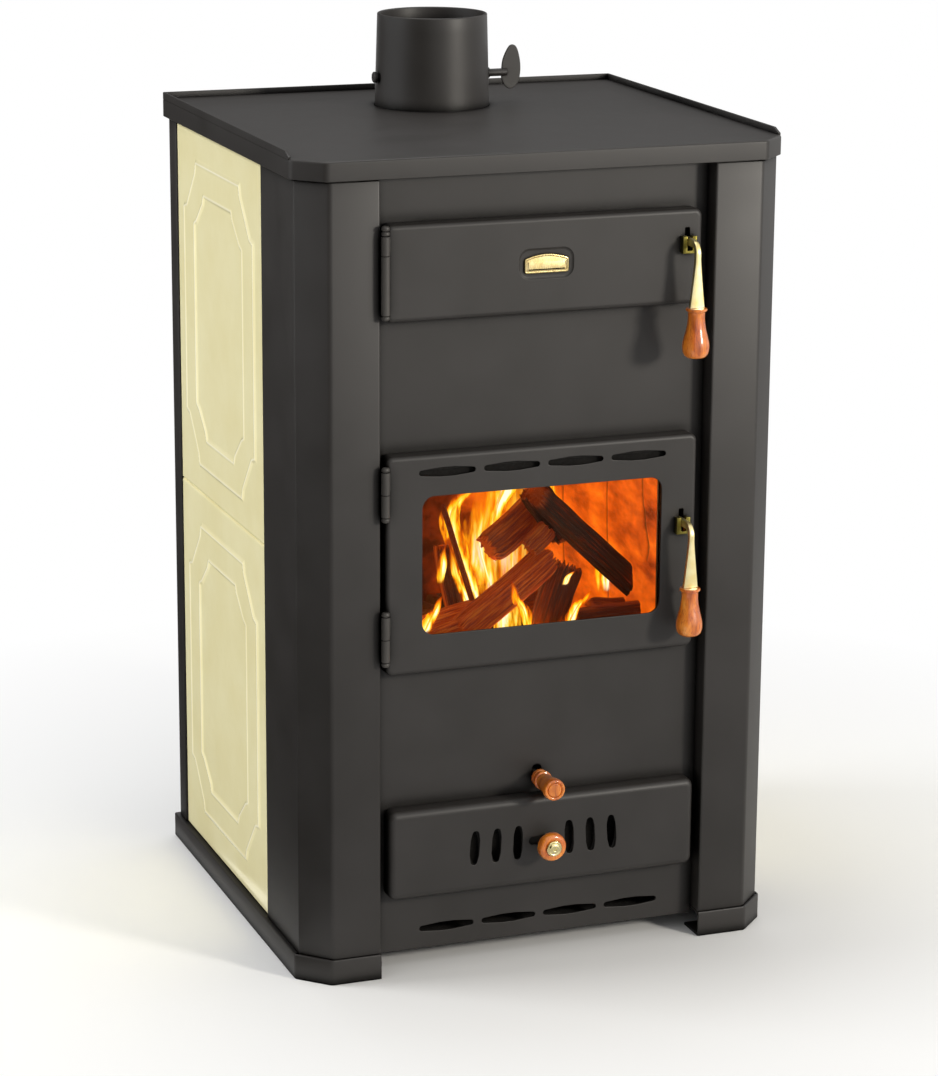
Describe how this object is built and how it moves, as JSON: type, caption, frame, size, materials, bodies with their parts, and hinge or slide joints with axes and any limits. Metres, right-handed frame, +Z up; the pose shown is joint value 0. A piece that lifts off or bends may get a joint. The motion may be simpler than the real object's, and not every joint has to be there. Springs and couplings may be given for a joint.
{
  "type": "boiler stove",
  "caption": "Free-standing wood-fired boiler stove with a glazed fire door, an upper door, an ash drawer, tiled sides and a top flue collar.",
  "frame": {"origin": "on the floor, under the middle of the whole stove's box", "axes": "+Z up, the doors face -Y, +X to the viewer's right when facing the doors"},
  "size_m": [0.57, 0.593, 1.0295],
  "materials": {
    "stove_paint": "satin charcoal heat-proof paint",
    "inner_steel": "dark scaled boiler steel",
    "cast_iron": "raw sooty cast iron",
    "cream_glaze": "glossy cream glaze",
    "fireclay": "rough fireclay",
    "rope_fibre": "braided mineral rope",
    "stove_glass": "clear glass ceramic",
    "brass": "polished pale brass",
    "lacquered_wood": "glossy orange-brown lacquer",
    "bright_steel": "turned steel"
  },
  "bodies": {
    "stove_body": {"top_plate": "stove_paint", "right_front_post": "stove_paint", "left_front_post": "stove_paint", "right_rear_stile": "stove_paint", "left_rear_stile": "stove_paint", "right_side_sheet": "inner_steel", "left_side_sheet": "inner_steel", "right_upper_tile": "cream_glaze", "left_upper_tile": "cream_glaze", "right_lower_tile": "cream_glaze", "left_lower_tile": "cream_glaze", "right_plinth": "stove_paint", "left_plinth": "stove_paint", "rear_plinth": "stove_paint", "base_plate": "inner_steel", "front_plate": "stove_paint", "rear_cover": "stove_paint", "ash_chamber": "inner_steel", "water_jacket": "inner_steel", "crown_plate": "inner_steel", "fixed_grate": "cast_iron", "right_firebrick": "fireclay", "left_firebrick": "fireclay", "rear_firebrick": "fireclay", "baffle_plate": "inner_steel", "flow_socket": "bright_steel", "return_socket": "bright_steel", "drain_socket": "bright_steel", "flue_collar": "stove_paint", "top_hinge_frame_half": "stove_paint", "fire_upper_hinge_frame_half": "stove_paint", "fire_lower_hinge_frame_half": "stove_paint"},
    "top_door": {"top_door_shell": "stove_paint", "top_door_liner": "inner_steel", "top_door_seal": "rope_fibre", "badge_plate": "brass", "top_hinge_door_half": "stove_paint", "top_handle_bracket": "brass"},
    "top_handle": {"top_handle_arm": "brass", "top_handle_grip": "lacquered_wood"},
    "fire_door": {"fire_door_shell": "stove_paint", "fire_door_glass": "stove_glass", "fire_door_liner": "inner_steel", "fire_door_seal": "rope_fibre", "fire_upper_hinge_door_half": "stove_paint", "fire_lower_hinge_door_half": "stove_paint", "fire_handle_bracket": "brass"},
    "fire_handle": {"fire_handle_arm": "brass", "fire_handle_grip": "lacquered_wood"},
    "ash_drawer": {"ash_drawer_front": "stove_paint", "ash_pan": "inner_steel"},
    "air_control": {"air_shutter": "inner_steel", "air_knob_stem": "brass", "air_knob": "lacquered_wood"},
    "grate_shaker": {"moving_grate": "cast_iron", "shaker_rod": "inner_steel", "shaker_grip": "lacquered_wood"},
    "flue_damper": {"damper_spindle": "inner_steel", "damper_plate": "cast_iron", "damper_handle": "stove_paint"}
  },
  "joints": [
    {"name": "top_door_hinge", "type": "hinge", "parent": "stove_body", "child": "top_door", "pos_m": [-0.1905, -0.2585, 0.8], "axis": [0, 0, -1], "range_deg": [0, 110]},
    {"name": "fire_door_hinge", "type": "hinge", "parent": "stove_body", "child": "fire_door", "pos_m": [-0.1905, -0.2585, 0.478], "axis": [0, 0, -1], "range_deg": [0, 110]},
    {"name": "top_handle_pivot", "type": "hinge", "parent": "top_door", "child": "top_handle", "pos_m": [0.16, -0.2565, 0.817], "axis": [-1, 0, 0], "range_deg": [0, 35]},
    {"name": "fire_handle_pivot", "type": "hinge", "parent": "fire_door", "child": "fire_handle", "pos_m": [0.16, -0.2565, 0.5], "axis": [-1, 0, 0], "range_deg": [0, 35]},
    {"name": "ash_drawer_slide", "type": "slide", "parent": "stove_body", "child": "ash_drawer", "axis": [0, -1, 0], "range_m": [0, 0.3]},
    {"name": "air_shutter_slide", "type": "slide", "parent": "ash_drawer", "child": "air_control", "axis": [-1, 0, 0], "range_m": [0, 0.013]},
    {"name": "grate_shaker_slide", "type": "slide", "parent": "stove_body", "child": "grate_shaker", "axis": [0, -1, 0], "range_m": [0, 0.04]},
    {"name": "flue_damper_hinge", "type": "hinge", "parent": "stove_body", "child": "flue_damper", "pos_m": [0, 0.1293, 0.957], "axis": [1, 0, 0], "range_deg": [0, 90]}
  ]
}
